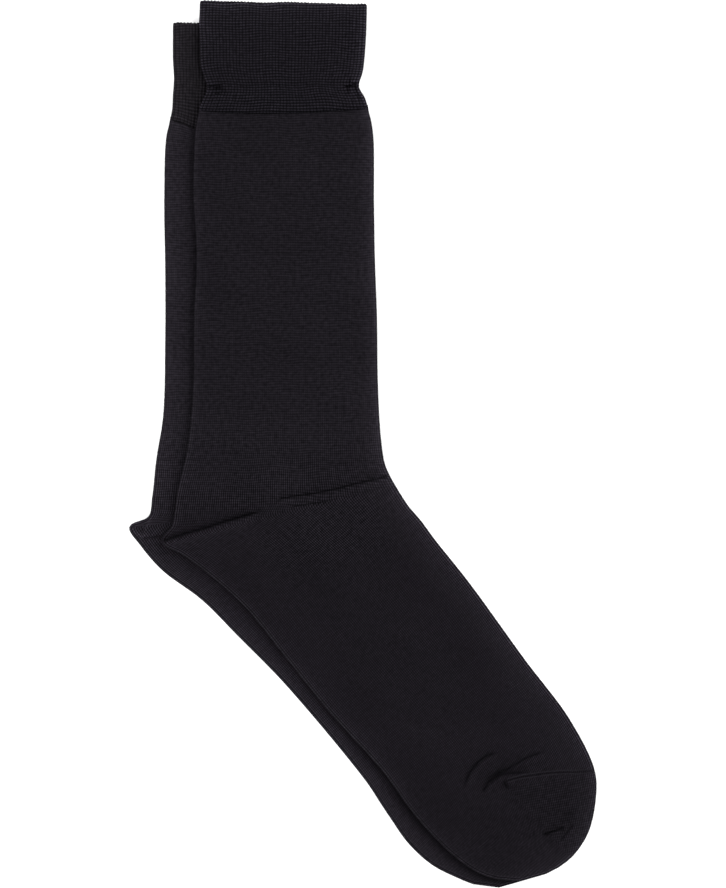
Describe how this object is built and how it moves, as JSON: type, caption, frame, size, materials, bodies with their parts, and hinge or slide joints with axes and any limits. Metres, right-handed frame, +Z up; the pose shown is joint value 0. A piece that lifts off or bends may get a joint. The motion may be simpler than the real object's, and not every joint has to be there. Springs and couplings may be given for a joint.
{
  "type": "pair of socks",
  "caption": "Plain fine-knit dress socks laid flat one on the other, each a pressed knitted tube with a ribbed cuff, a heel and a linked toe.",
  "frame": {"origin": "middle of the pair's outline, on the surface that it lies on", "axes": "+X to the right seen from above, the side of the toes, +Y towards the cuffs, +Z up from the surface"},
  "size_m": [0.2329, 0.443, 0.0069],
  "materials": {
    "rib_knit": "black fine 1x1 rib knit, matt",
    "plain_knit": "black fine plain knit, matt with a faint nap"
  },
  "bodies": {
    "root": {"lower_sock_cuff": "rib_knit", "lower_sock_leg_and_foot": "plain_knit", "lower_sock_toe": "plain_knit", "upper_sock_cuff": "rib_knit", "upper_sock_leg_and_foot": "plain_knit", "upper_sock_toe": "plain_knit"}
  },
  "joints": []
}
